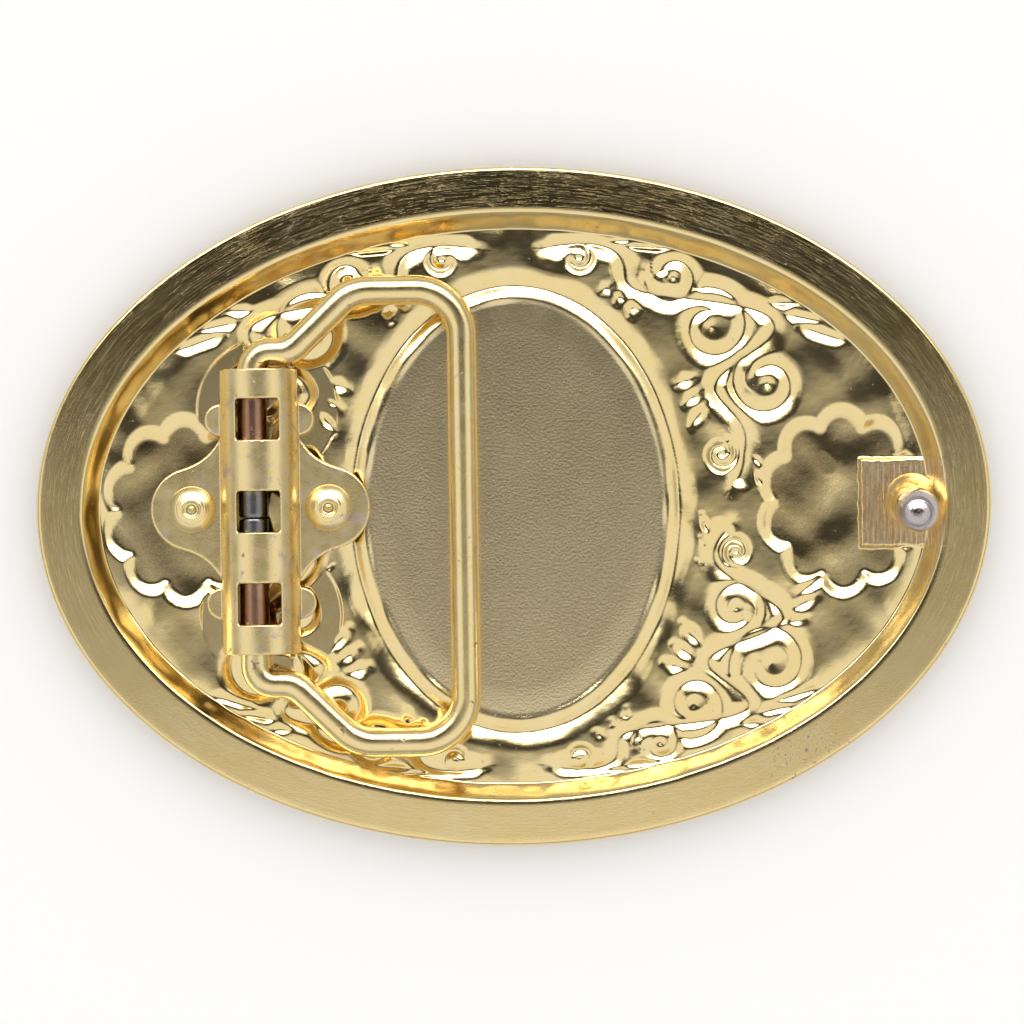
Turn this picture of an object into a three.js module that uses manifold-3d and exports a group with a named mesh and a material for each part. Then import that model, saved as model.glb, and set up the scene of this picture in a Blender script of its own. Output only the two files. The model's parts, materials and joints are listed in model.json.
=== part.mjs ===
// An oval dress belt buckle, lying on its decorated face with its back up.
// A stamped plate carries a hinge bracket, riveted on by two ears, and a headed belt stud.
// A wire bail turns in the bracket: its two cut ends meet inside, under the middle window.
// Millimetres. +Z points out of the back, +X runs from the hinge to the stud, and z = 0 is the
// plane that the face lies on.

import * as THREE from "three";
import { mergeVertices } from "three/addons/utils/BufferGeometryUtils.js";
import Module from "manifold-3d";

// ---- Driving dimensions ----------------------------------------------------------------------

const SHEET = 1.4; // thickness of the stamped plate
const PLATE = {
  halfLength: 47.8,
  halfHeight: 34.0,
  rimWidth: 4.5, // flat band round the back
  wallRun: 1.7, // how far the wall between the band and the ground leans inwards
  bendShift: 0.84, // how much further out the wall's bends lie on the face than on the back
  rimBack: 4.2, // height of the band's back face
  ground: 2.6, // height of the stamped ground's back face
  edgeRound: 0.6,
  segments: 96,
};
const FIELD = {
  halfWidth: 16.5, // centre line of the bead round the medallion field
  halfHeight: 22.3,
  beadHalfWidth: 1.1,
  crestHalfWidth: 0.3, // the flat on the bead's crest, which the face lies on
  sink: 0.25, // how far the field's back lies below the ground
  grooveDepth: 0.9,
  segments: 80,
};
const HINGE = {
  x: -25.4,
  y: -0.2,
  length: 28.5,
  halfWidth: 3.85,
  sheet: 0.9,
  springLine: 4.1, // height at which the arch starts on its legs
  archRise: 3.5,
  earReach: 6.85, // rivet centres from the hinge's middle line
  earLift: 0.3, // the ears sit this far off the arch's middle
  earRadius: 4.15,
  earRoot: 7.3, // half the ears' length where they meet the legs
  earTangentDeg: 75, // where the round end gives way to the sweep, from the ear's outward axis
  earSweep: 2.6, // handle of the curve that sweeps from the ear's round end in to the leg
  rootSweepX: 0.7, // the same curve's handle where it meets the leg
  rootSweepY: 1.2,
  footReach: 5.5,
  footRadius: 1.6,
  windowPitch: 9.2,
  windowWidth: 4.3,
  windowLength: 4.1,
};
const RIVET = {
  headRadius: 2.33,
  headRise: 1.15,
  headEdge: 0.2, // height of the head's straight edge
  shankRadius: 1.2,
  socketDepth: 0.4,
  clearance: 0.05,
};
const BAIL = {
  wireRadius: 1.5,
  pivotX: -26.0,
  pivotZ: 4.75,
  midY: -0.85,
  endGap: 0.2, // between the two cut ends of the wire
  shoulder: 16.55, // half distance between the two shoulders, on the wire's centre line
  shoulderRun: 3.8, // from the pivot to the start of the slanted part
  slantEnd: 10.0,
  armSpread: 22.6,
  reach: 21.0, // from the pivot to the crossbar
  barClearance: 0.1, // under the crossbar, above the ground, when folded
  bends: { entry: 1.9, shoulder: 3.0, slant: 4.5, corner: 4.6 },
  sides: 12,
  steps: 150,
};
const STUD = {
  x: 39.95,
  baseRadius: 2.7,
  collar: 0.35, // height of the base's straight edge
  flareRadius: 1.93, // the base's flare, half way up to the neck
  flareHeight: 1.18,
  neckRadius: 1.5,
  neckLow: 2.6,
  neckHigh: 4.4,
  shoulderRadius: 2.02, // under the head's widest ring
  shoulderHeight: 5.2,
  headRadius: 2.2,
  headMiddle: 5.6,
  height: 7.8,
  leanDeg: 10.5,
};
const SEAT = { lowX: 34.8, highX: 43.2, halfY: 4.8, depth: 0.1 }; // milled flat under the stud
const SEGMENTS = { hole: 24, rivet: 28, stud: 32 }; // sides of the small round pieces

const MATERIALS = {
  gold: { color: 0xd9bd74, roughness: 0.25, metalness: 1 },
  satinGold: { color: 0xcdb06a, roughness: 0.35, metalness: 1 },
  wireGold: { color: 0xe0c47c, roughness: 0.22, metalness: 1 },
  wornSteel: { color: 0xbfb4a6, roughness: 0.28, metalness: 1 },
};

// ---- Solids ----------------------------------------------------------------------------------

const wasm = await Module();
wasm.setup();

const CUT_MARGIN = 1; // how far a cutting tool runs past the face it opens

function solid(geometry) {
  const bare = geometry.clone();
  bare.deleteAttribute("normal");
  bare.deleteAttribute("uv");
  const merged = mergeVertices(bare, 1e-4);
  return new wasm.Manifold(
    new wasm.Mesh({
      numProp: 3,
      vertProperties: merged.getAttribute("position").array,
      triVerts: new Uint32Array(merged.index.array),
    }),
  );
}

function geometryOf(made) {
  const mesh = made.getMesh();
  const geometry = new THREE.BufferGeometry();
  geometry.setAttribute("position", new THREE.BufferAttribute(mesh.vertProperties, 3));
  geometry.setIndex(new THREE.BufferAttribute(mesh.triVerts, 1));
  geometry.computeVertexNormals();
  return geometry;
}

function part(name, geometry, look) {
  const mesh = new THREE.Mesh(geometry, new THREE.MeshStandardMaterial(look));
  mesh.name = name;
  return mesh;
}

// A profile of [radius, height] pairs turned about Z.
function turned(profile, segments) {
  const points = profile.map(([radius, height]) => new THREE.Vector2(radius, height));
  return new THREE.LatheGeometry(points, segments).rotateX(Math.PI / 2);
}

// The same, but every ring is an ellipse that is `stretch` longer in half length than in half height,
// so that a band keeps its width all the way round.
function turnedOval(profile, stretch, segments) {
  const points = profile.map(([radius, height]) => new THREE.Vector2(radius, height));
  const geometry = new THREE.LatheGeometry(points, segments);
  const position = geometry.getAttribute("position");
  for (let i = 0; i <= segments; i++) {
    const shift = stretch * Math.sin((2 * Math.PI * i) / segments);
    for (let j = 0; j < points.length; j++) {
      const k = i * points.length + j;
      position.setX(k, position.getX(k) + shift);
    }
  }
  return geometry.rotateX(Math.PI / 2);
}

function block(lowX, highX, lowY, highY, lowZ, highZ) {
  return new THREE.BoxGeometry(highX - lowX, highY - lowY, highZ - lowZ).translate(
    (lowX + highX) / 2,
    (lowY + highY) / 2,
    (lowZ + highZ) / 2,
  );
}

// A drill's cylinder for a rivet shank, from one height to another.
function shankHole(low, high) {
  const radius = RIVET.shankRadius + RIVET.clearance;
  return turned([[0, low], [radius, low], [radius, high], [0, high]], SEGMENTS.hole);
}

function slab(shape, lowZ, thickness, curveSegments = 12) {
  return new THREE.ExtrudeGeometry(shape, { depth: thickness, bevelEnabled: false, curveSegments })
    .translate(0, 0, lowZ);
}

// ---- Plate -----------------------------------------------------------------------------------

function plateSolid() {
  const { halfHeight, halfLength, rimWidth, wallRun, bendShift, rimBack, edgeRound } = PLATE;
  const { ground, segments } = PLATE;
  const innerEdge = halfHeight - rimWidth;
  const wallFoot = innerEdge - wallRun;
  const front = ground - SHEET;
  const rimFront = rimBack - SHEET;
  const lip = edgeRound * 0.3;
  const profile = [
    [0, front],
    [wallFoot + bendShift, front],
    [innerEdge + bendShift, rimFront],
    [halfHeight - lip, rimFront],
    [halfHeight, rimFront + lip],
    [halfHeight, rimBack - edgeRound],
    [halfHeight - lip, rimBack - lip],
    [halfHeight - edgeRound, rimBack],
    [innerEdge, rimBack],
    [innerEdge - lip, rimBack - lip],
    [wallFoot, ground],
    [0, ground],
  ];
  return solid(turnedOval(profile, halfLength - halfHeight, segments));
}

// A ring that follows the medallion field's outline: `section` is [offset, height] pairs.
function fieldRing(section) {
  const stretch = FIELD.halfHeight - FIELD.halfWidth;
  const profile = section.map(([offset, height]) => [FIELD.halfWidth + offset, height]);
  const ring = turnedOval([...profile, profile[0]], stretch, FIELD.segments);
  return solid(ring.rotateZ(Math.PI / 2));
}

function fieldBead() {
  const { beadHalfWidth: wide, crestHalfWidth: crest } = FIELD;
  const front = PLATE.ground - SHEET;
  return fieldRing([[-wide, front + SHEET / 2], [-wide, front], [-crest, 0], [crest, 0],
    [wide, front], [wide, front + SHEET / 2]]);
}

function fieldGroove() {
  const { beadHalfWidth: wide, crestHalfWidth: crest, grooveDepth } = FIELD;
  const back = PLATE.ground;
  const lift = CUT_MARGIN;
  return fieldRing([[-wide, back], [-crest, back - grooveDepth], [crest, back - grooveDepth],
    [wide, back], [wide, back + lift], [-wide, back + lift]]);
}

function fieldSink() {
  const outline = new THREE.Shape().absellipse(0, 0, FIELD.halfWidth, FIELD.halfHeight, 0, 2 * Math.PI);
  return solid(slab(outline, PLATE.ground - FIELD.sink, FIELD.sink + CUT_MARGIN, FIELD.segments / 2));
}

function plateGeometry() {
  const seat = solid(block(SEAT.lowX, SEAT.highX, -SEAT.halfY, SEAT.halfY,
    PLATE.ground - SEAT.depth, PLATE.rimBack + CUT_MARGIN));
  const socketFloor = PLATE.ground - RIVET.socketDepth;
  let plate = plateSolid().add(fieldBead()).subtract(fieldSink()).subtract(fieldGroove()).subtract(seat);
  for (const side of [-1, 1]) {
    const socket = shankHole(socketFloor, PLATE.ground + CUT_MARGIN);
    const x = HINGE.x + side * HINGE.earReach;
    plate = plate.subtract(solid(socket.translate(x, HINGE.y + HINGE.earLift, 0)));
  }
  return geometryOf(plate);
}

// ---- Hinge bracket ---------------------------------------------------------------------------

// Half of the flange's outline, on the side `side`: a round ear that sweeps in to the leg.
function earShape(side) {
  const { halfWidth, sheet, earReach, earRadius, earRoot, earSweep, rootSweepX, rootSweepY } = HINGE;
  const tangent = THREE.MathUtils.degToRad(HINGE.earTangentDeg);
  const inner = halfWidth - sheet / 2;
  const joinX = earReach + earRadius * Math.cos(tangent);
  const joinY = earRadius * Math.sin(tangent);
  const leaveX = joinX - earSweep * Math.sin(tangent);
  const leaveY = joinY + earSweep * Math.cos(tangent);
  const rootX = halfWidth + rootSweepX;
  const rootY = earRoot - rootSweepY;
  const shape = new THREE.Shape();
  shape.moveTo(inner, -earRoot);
  shape.lineTo(halfWidth, -earRoot);
  shape.bezierCurveTo(rootX, -rootY, leaveX, -leaveY, joinX, -joinY);
  shape.absarc(earReach, 0, earRadius, -tangent, tangent, false);
  shape.bezierCurveTo(leaveX, leaveY, rootX, rootY, halfWidth, earRoot);
  shape.lineTo(inner, earRoot);
  shape.closePath();
  return side > 0 ? shape : mirrored(shape);
}

function mirrored(shape) {
  const points = shape.getPoints(16).map((p) => new THREE.Vector2(-p.x, p.y));
  return new THREE.Shape(points.reverse());
}

function footShape(y) {
  const { footReach, footRadius } = HINGE;
  const straight = footReach - footRadius;
  const shape = new THREE.Shape();
  shape.absarc(straight, y, footRadius, -Math.PI / 2, Math.PI / 2, false);
  shape.absarc(-straight, y, footRadius, Math.PI / 2, 1.5 * Math.PI, false);
  shape.closePath();
  return shape;
}

// The arched channel's section, in X and height above the plate's ground.
function channelShape() {
  const { halfWidth, sheet, springLine, archRise } = HINGE;
  const legs = springLine - PLATE.ground;
  const inside = halfWidth - sheet;
  const shape = new THREE.Shape();
  shape.moveTo(halfWidth, 0);
  shape.lineTo(halfWidth, legs);
  shape.absellipse(0, legs, halfWidth, archRise, 0, Math.PI, false);
  shape.lineTo(-halfWidth, 0);
  shape.lineTo(-inside, 0);
  shape.lineTo(-inside, legs);
  shape.absellipse(0, legs, inside, archRise - sheet, Math.PI, 0, true);
  shape.lineTo(inside, 0);
  shape.closePath();
  return shape;
}

function bracketGeometry() {
  const { length, halfWidth, sheet, windowPitch, windowWidth, windowLength, earReach, earLift } = HINGE;
  const base = PLATE.ground;
  const channel = slab(channelShape(), 0, length, 20)
    .rotateX(Math.PI / 2)
    .translate(0, length / 2, base);
  const ear = (side) => solid(slab(earShape(side), base, sheet).translate(0, earLift, 0));
  let flange = ear(1).add(ear(-1));
  for (const side of [-1, 1]) {
    flange = flange.add(solid(slab(footShape(side * windowPitch), base, sheet)));
  }
  const inside = halfWidth - sheet;
  const hollow = solid(block(-inside, inside, -length, length, base - CUT_MARGIN, HINGE.springLine));
  let bracket = solid(channel).add(flange.subtract(hollow));
  for (const row of [-1, 0, 1]) {
    const y = row * windowPitch;
    const top = HINGE.springLine + HINGE.archRise + CUT_MARGIN;
    bracket = bracket.subtract(solid(block(-windowWidth / 2, windowWidth / 2,
      y - windowLength / 2, y + windowLength / 2, HINGE.springLine, top)));
  }
  for (const side of [-1, 1]) {
    const hole = shankHole(base - CUT_MARGIN, base + sheet + CUT_MARGIN);
    bracket = bracket.subtract(solid(hole.translate(side * earReach, earLift, 0)));
  }
  return geometryOf(bracket);
}

// ---- Rivets ----------------------------------------------------------------------------------

function rivetGeometry() {
  const { headRadius, headRise, headEdge: edge, shankRadius, socketDepth } = RIVET;
  const under = PLATE.ground + HINGE.sheet;
  const rings = 5;
  const profile = [[0, PLATE.ground - socketDepth], [shankRadius, PLATE.ground - socketDepth],
    [shankRadius, under], [headRadius, under], [headRadius, under + edge]];
  for (let i = 1; i < rings; i++) {
    const turn = (i / rings) * (Math.PI / 2);
    profile.push([headRadius * Math.cos(turn), under + edge + (headRise - edge) * Math.sin(turn)]);
  }
  profile.push([0, under + headRise]);
  return turned(profile, SEGMENTS.rivet);
}

// ---- Bail ------------------------------------------------------------------------------------

// A path through `corners`, each rounded by an arc of its own radius.
function roundedPath(corners) {
  const path = new THREE.CurvePath();
  let from = corners[0].at;
  for (let i = 1; i < corners.length - 1; i++) {
    const { at, bend } = corners[i];
    const arriving = at.clone().sub(corners[i - 1].at).normalize();
    const leaving = corners[i + 1].at.clone().sub(at).normalize();
    const turn = arriving.angleTo(leaving);
    const run = bend * Math.tan(turn / 2);
    const start = at.clone().addScaledVector(arriving, -run);
    const end = at.clone().addScaledVector(leaving, run);
    // Handles of this length make a cubic follow a circular arc closely.
    const handle = (4 / 3) * Math.tan(turn / 4) * bend;
    path.add(new THREE.LineCurve3(from, start));
    path.add(new THREE.CubicBezierCurve3(start, start.clone().addScaledVector(arriving, handle),
      end.clone().addScaledVector(leaving, -handle), end));
    from = end;
  }
  path.add(new THREE.LineCurve3(from, corners[corners.length - 1].at));
  return path;
}

function bailPath() {
  const { endGap, shoulder, shoulderRun, slantEnd, armSpread, reach, bends } = BAIL;
  const half = [
    [0, endGap / 2, 0],
    [0, shoulder, bends.entry],
    [shoulderRun, shoulder, bends.shoulder],
    [slantEnd, armSpread, bends.slant],
    [reach, armSpread, bends.corner],
  ];
  const corner = ([along, across, bend], side) => ({ at: new THREE.Vector3(along, side * across, 0), bend });
  return roundedPath([...half.map((c) => corner(c, 1)), ...half.reverse().map((c) => corner(c, -1))]);
}

function bailMesh() {
  const { wireRadius, pivotX, pivotZ, midY, reach, barClearance, sides, steps } = BAIL;
  const section = new THREE.Shape();
  for (let i = 0; i < sides; i++) {
    const turn = (2 * Math.PI * i) / sides;
    const point = [wireRadius * Math.cos(turn), wireRadius * Math.sin(turn)];
    if (i === 0) section.moveTo(...point);
    else section.lineTo(...point);
  }
  const wire = new THREE.ExtrudeGeometry(section, { steps, extrudePath: bailPath(), bevelEnabled: false });
  const mesh = part("bail", wire, MATERIALS.wireGold);
  mesh.position.set(pivotX, midY, pivotZ);
  const barHeight = PLATE.ground + barClearance + wireRadius;
  mesh.rotation.y = Math.asin((pivotZ - barHeight) / reach);
  return mesh;
}

// ---- Belt stud -------------------------------------------------------------------------------

function studGeometry() {
  const { baseRadius, collar, neckRadius, headRadius, headMiddle, height } = STUD;
  const rings = 6;
  const profile = [[0, 0], [baseRadius, 0], [baseRadius, collar], [STUD.flareRadius, STUD.flareHeight],
    [neckRadius, STUD.neckLow], [neckRadius, STUD.neckHigh], [STUD.shoulderRadius, STUD.shoulderHeight],
    [headRadius, headMiddle]];
  for (let i = 1; i < rings; i++) {
    const turn = (i / rings) * (Math.PI / 2);
    profile.push([headRadius * Math.cos(turn), headMiddle + (height - headMiddle) * Math.sin(turn)]);
  }
  profile.push([0, height]);
  const stud = turned(profile, SEGMENTS.stud);
  const lean = Math.tan(THREE.MathUtils.degToRad(STUD.leanDeg));
  const position = stud.getAttribute("position");
  for (let i = 0; i < position.count; i++) {
    const above = Math.max(0, position.getZ(i) - collar);
    position.setY(i, position.getY(i) - lean * above);
  }
  return stud;
}

// ---- Assembly --------------------------------------------------------------------------------

const buckle = new THREE.Group();
buckle.add(part("plate", plateGeometry(), MATERIALS.gold));

const bracket = part("hinge_bracket", bracketGeometry(), MATERIALS.satinGold);
bracket.position.set(HINGE.x, HINGE.y, 0);
buckle.add(bracket);

for (const [name, side] of [["rivet_left", -1], ["rivet_right", 1]]) {
  const rivet = part(name, rivetGeometry(), MATERIALS.satinGold);
  rivet.position.set(HINGE.x + side * HINGE.earReach, HINGE.y + HINGE.earLift, 0);
  buckle.add(rivet);
}

buckle.add(bailMesh());

const stud = part("belt_stud", studGeometry(), MATERIALS.wornSteel);
stud.position.set(STUD.x, 0, PLATE.ground - SEAT.depth);
buckle.add(stud);

export default buckle;
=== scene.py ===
"""An oval dress belt buckle, seen from its back: stamped and gold-plated, with a wire bail that swings
in a riveted bracket, and a headed belt stud. Lengths are millimetres until a mesh is made."""

import json
import math

import bmesh
import bpy
import numpy as np
from mathutils import Matrix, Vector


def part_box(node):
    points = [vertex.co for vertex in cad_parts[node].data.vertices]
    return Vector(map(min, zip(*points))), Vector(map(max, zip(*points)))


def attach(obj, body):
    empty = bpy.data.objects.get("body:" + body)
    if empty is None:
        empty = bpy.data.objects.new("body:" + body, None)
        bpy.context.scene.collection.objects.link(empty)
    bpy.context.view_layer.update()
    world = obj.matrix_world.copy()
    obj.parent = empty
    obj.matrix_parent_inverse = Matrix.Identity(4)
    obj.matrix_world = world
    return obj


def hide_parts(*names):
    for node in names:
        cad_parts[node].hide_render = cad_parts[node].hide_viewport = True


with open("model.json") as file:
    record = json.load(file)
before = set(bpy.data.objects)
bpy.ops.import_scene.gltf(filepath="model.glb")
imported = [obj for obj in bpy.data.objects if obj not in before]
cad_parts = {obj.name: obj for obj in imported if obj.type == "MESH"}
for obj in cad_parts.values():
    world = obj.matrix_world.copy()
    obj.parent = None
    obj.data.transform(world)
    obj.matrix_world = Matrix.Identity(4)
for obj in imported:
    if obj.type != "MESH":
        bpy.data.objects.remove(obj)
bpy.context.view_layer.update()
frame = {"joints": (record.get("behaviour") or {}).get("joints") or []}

MM = 0.001
ROOT = "plate_assembly"

# ---- Sizes taken from the frame, in millimetres ------------------------------------------------------


def node_box(name):
    low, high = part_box(name)
    return np.array(low) / MM, np.array(high) / MM


PLATE_HIGH = node_box("plate")[1]
HALF_LENGTH, HALF_HEIGHT = PLATE_HIGH[0], PLATE_HIGH[1]
RIM_BACK = PLATE_HIGH[2]  # height of the flat band round the back
BRACKET_LOW = node_box("hinge_bracket")[0]
GROUND = BRACKET_LOW[2]  # height of the plate's back where the bracket sits on it
RIVET_BOXES = {name: node_box(name) for name in ("rivet_left", "rivet_right")}
STUD_LOW, STUD_HIGH = node_box("belt_stud")
PIVOT = np.array(frame["joints"][0]["pos_m"]) / MM

SHEET = 1.4
RIM_WIDTH = 4.5
WALL_RUN = 1.7
STRETCH = HALF_LENGTH - HALF_HEIGHT  # every ring of the rim is this much longer than it is high
RIM_EDGE = HALF_HEIGHT - RIM_WIDTH
WALL_FOOT = RIM_EDGE - WALL_RUN
RIM_FALL = 0.20  # how much lower the band is at its outer edge

FIELD_MIDDLE = (0.2, -0.3)
FIELD_HALF = (16.45, 22.4)  # the crease round the medallion field
FIELD_SINK = 0.2
FIELD_DOME, FIELD_DOME_WIDTH = 0.16, 4.5  # how far and over what width the field falls to its crease
FIELD_CREASE, FIELD_CREASE_INNER = 0.6, 1.4  # depth of the crease round the field, and its width inwards
BEAD_HALF, BEAD_CREST = 1.1, 0.3  # half widths of the face's bead opposite that crease, and of its crest
WALL_WAVES = (0.03, 3.5, 31)  # height, size and seed of the wall's unevenness
WALL_ROUND = 0.3  # share of the wall's rise that is rounded at both ends
WALL_CREASE = 0.16  # depth of the crease at the foot of the rim's wall

# ---- The stamped relief, for the right half; the left half mirrors it ----------------------------------

# A plain running scroll fills each quarter of the ground. Its stem waves along a band between the field and
# the wall, each crest holds a curl with a pit in its eye, and leaves fan from the crest to the band's edge.
QUARTERS = [(1, 5), (-1, 6)]  # side of the long axis, and how many crests its stem has
STEM_TURN = (84, 4)  # where a stem starts and ends, in degrees round the plate from the long axis
STEM_SWAY = 0.25  # how far a stem sways, as a share of its band's width
STEM_KNOTS = 6  # knots from one crest to the next
BAND_MIDDLE = (0.14, 0.50)  # its middle beside the cartouche and clear of it, as a share of the ground
BAND_SHIFT = (10, 40)  # the turns, in degrees, between which it moves over
FIELD_BORDER = 2.1  # width outwards of the crease round the field, which the scrolls keep clear of
CURL_SHIFT, CURL_SIZE, CURL_EYE = 0.10, 0.25, 0.36  # centre and radius in band widths, eye in radii
CURL_SWEEP = 400  # degrees
LEAF_FAN, LEAF_LEAN = 3.4, 1.6  # degrees between leaves, and how much they spread towards their tips
LEAF_ROOT, LEAF_TIP = 0.34, 0.49  # distance from the band's middle, in band widths
FULL_BAND, LEAST_GRADE = 12.0, 0.55  # a narrower band has narrower grooves, down to this share
PIT_SIZE, PIT_DEPTH = 0.45, 0.35  # in curl radii, and in millimetres
STEM = (0.60, 2.0, 1.7)  # a groove's depth, its width on its left and its width on its right
CURL = (0.58, 1.8, 1.6)
LEAF = (0.45, 1.3, 1.2)
LINE_STEP = 0.22  # spacing of the points along a curve
CREASE_ROUND = 0.12  # how round a groove's bottom is
PRESS = 0.98  # scales every groove's depth
FLANK_POWER = 1.7  # 1 gives flanks of one slope, more a soft shoulder and a sharper crease
BLEND = 5  # how crisply one groove meets the next
GROOVE_TIP = 1.3  # length over which a groove fades in and out
# The plain ridge at the top of the middle: its half width, its lowest end and how much of it stays up.
COLUMN = (0.8, 24.0, 0.85)

# Waves of the ground: (height, size, seed), from broad swells to the pressed metal's orange peel.
SWELLS = [(0.085, 7.0, 5), (0.03, 3.8, 8), (0.002, 0.9, 13)]
WAVES = 11  # sines that one set of waves is summed from
SWELL_DROP, SWELL_GAP = 0.16, 0.02  # how far below the bracket's feet the swells' middle and tops are

# A scalloped cartouche round the stud: an oval whose edge is pinched between its lobes.
CARTOUCHE_MIDDLE = (33.0, 0.0)
CARTOUCHE_HALF = (8.2, 9.2)
CARTOUCHE_LOBES = 10
CARTOUCHE_PINCH = 0.15
CARTOUCHE_DEPTH = 0.55
CARTOUCHE_WALL = 1.7

SPOT_FACES = [(-24.6, 10.1), (-24.5, -10.6)]  # milled flats under the bracket's two ends
SPOT_RADIUS = 7.2
SPOT_FLOOR = GROUND - 0.3
SPOT_MARKS = 0.2  # how strongly these flats show tool marks, against the stud's seat
SEAT_LOW, SEAT_HIGH = (34.8, -4.6), (43.2, 4.2)  # milled flat under the stud
SEAT_FLOOR = STUD_LOW[2]
SEAT_EDGE = 0.3  # width of the slope round the seat
SEAT_RAGGED = (0.05, 1.6, 21)  # height, size and seed of that edge's unevenness
CHATTER = (0.012, 0.55)  # height and spacing of the cutter's marks in the seat

# The plate's edges.
RING_SPACING = 0.75  # under 1, so that the mesh's rings crowd towards the wall
LIP = 0.45  # rounding of the band's outer edge
BAND_BREAK = 0.12  # width of the turn from the wall to the band
UNDER_ROUND, UNDER_STEP = 0.25, 0.08  # the band's edge on the face, and the first step of its rounding
FACE_BEND, FACE_FOOT = 0.9, 0.6  # how far outside the back's upper and lower bends the face's lie

# The rivets' heads.
RIVET_SHANK = 1.2
RIVET_SEAT = 0.01  # gap under the head
RIVET_CORNER = (0.12, 0.06)  # width and height of the corner under the head
RIVET_RIM = ((0.0, 0.16), (0.05, 0.24))  # the head's upright edge: inset and height of its two ends
RIVET_CROWN = 2.3  # 2 makes a round dome, more a flatter one
RIVET_STEPS, RIVET_INSET = 60, 0.06  # rings of the dome, and how far inside the head they start
RIVET_RINGS = (0.008, 0.42, 1.75, 0.3)  # the tool's rings: height, spacing, outer end and its fade
RIVET_DIMPLE = (0.30, 0.95, 0.45)  # depth, radius and width of its slope
RIVET_NIPPLE = (0.22, 0.34, 0.22)  # height, radius and width of its slope

# The stud.
STUD_HEAD, STUD_NECK = 2.2, 1.5
STUD_FOOT = (0.08, 0.25, 0.37)  # its chamfer, and the heights where its side and its upper chamfer end
STUD_FLARE, STUD_FLARE_POWER = 2.2, 2.2  # height of the curve from foot to neck, and how fast it narrows
STUD_HEAD_MIDDLE = 5.6  # above the seat
STUD_NECK_END = 1.75  # how far below the head's middle the neck ends
STUD_HEAD_START = -46  # degrees, where the head's round underside begins
STUD_UNDER = 0.95  # how round the underside is
STUD_RINGS = (0.006, 0.26, 2.1, 0.3)  # as RIVET_RINGS
STUD_TOP_GAP = 0.02  # keeps the rings inside the stud's own height
STUD_LEAN = (0.35, 10.5)  # height above the seat where it starts to lean, and degrees towards -Y
STUD_WORN = 4.6  # height above the seat where the plating is worn off


def smooth(t):
    t = np.clip(t, 0.0, 1.0)
    return t * t * (3 - 2 * t)


def spline(points):
    """Points along a Catmull-Rom curve through `points`, about LINE_STEP apart."""
    p = np.array(points, float)
    p = np.vstack([2 * p[0] - p[1], p, 2 * p[-1] - p[-2]])
    made = []
    for a, b, c, d in zip(p[:-3], p[1:-2], p[2:-1], p[3:]):
        count = max(2, int(np.linalg.norm(c - b) / LINE_STEP))
        t = np.linspace(0, 1, count, endpoint=False)[:, None]
        made.append(0.5 * (2 * b + (c - a) * t + (2 * a - 5 * b + 4 * c - d) * t**2
                           + (3 * b - a - 3 * c + d) * t**3))
    made.append(p[-2][None])
    return np.vstack(made)


def nearest(x, y, line):
    """Each point's distance to a line, its side (1 left, -1 right) and the run there; and the whole run."""
    start, end = line[:-1], line[1:]
    step = end - start
    length = np.maximum(np.linalg.norm(step, axis=1), 1e-9)
    run = np.concatenate([[0], np.cumsum(length)])
    best = np.full(x.shape, np.inf)
    side = np.ones(x.shape)
    along = np.zeros(x.shape)
    for i in range(len(step)):
        ux, uy = step[i] / length[i]
        px, py = x - start[i, 0], y - start[i, 1]
        t = np.clip(px * ux + py * uy, 0, length[i])
        qx, qy = px - t * ux, py - t * uy
        d = qx * qx + qy * qy
        closer = d < best
        best[closer] = d[closer]
        side[closer] = np.where(ux * py[closer] - uy * px[closer] >= 0, 1, -1)
        along[closer] = run[i] + t[closer]
    return np.sqrt(best), side, along, run[-1]


def flank(u):
    """Falls from 1 at a groove's crease to 0 at its shoulder, steepest at the crease."""
    return (1 - np.clip(u, 0, 1)) ** FLANK_POWER


def spiral(x, y, start_radius, end_radius, start, end):
    """Points along a spiral about (x, y), between two angles in degrees."""
    turn = np.radians(np.linspace(start, end, 40))
    radius = np.linspace(start_radius, end_radius, 40)
    return np.stack([x + radius * np.cos(turn), y + radius * np.sin(turn)], 1)


def ground_point(turn, share):
    """A point `turn` degrees round the plate, `share` of the way from the field to the wall."""
    along, across = math.cos(math.radians(turn)), math.sin(math.radians(turn))
    inner = np.array([FIELD_MIDDLE[0] + (FIELD_HALF[0] + FIELD_BORDER) * along,
                      FIELD_MIDDLE[1] + (FIELD_HALF[1] + FIELD_BORDER) * across])
    outer = np.array([(WALL_FOOT + STRETCH) * along, WALL_FOOT * across])
    return inner * (1 - share) + outer * share


def band_place(side, crests, run):
    """A stem's band after `run` crests: its turn, its middle and its width, the last two as shares."""
    turn = STEM_TURN[0] + (STEM_TURN[1] - STEM_TURN[0]) * run / crests
    moved = smooth((turn - BAND_SHIFT[0]) / (BAND_SHIFT[1] - BAND_SHIFT[0]))
    middle = BAND_MIDDLE[0] + (BAND_MIDDLE[1] - BAND_MIDDLE[0]) * moved
    return side * turn, middle, 2 * min(middle, 1 - middle)


def stem_point(side, crests, run):
    turn, middle, room = band_place(side, crests, run)
    return ground_point(turn, middle + STEM_SWAY * room * math.sin(math.pi * run))


def graded(kind, grade):
    depth, left, right = kind
    return depth, left * grade, right * grade


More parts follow.
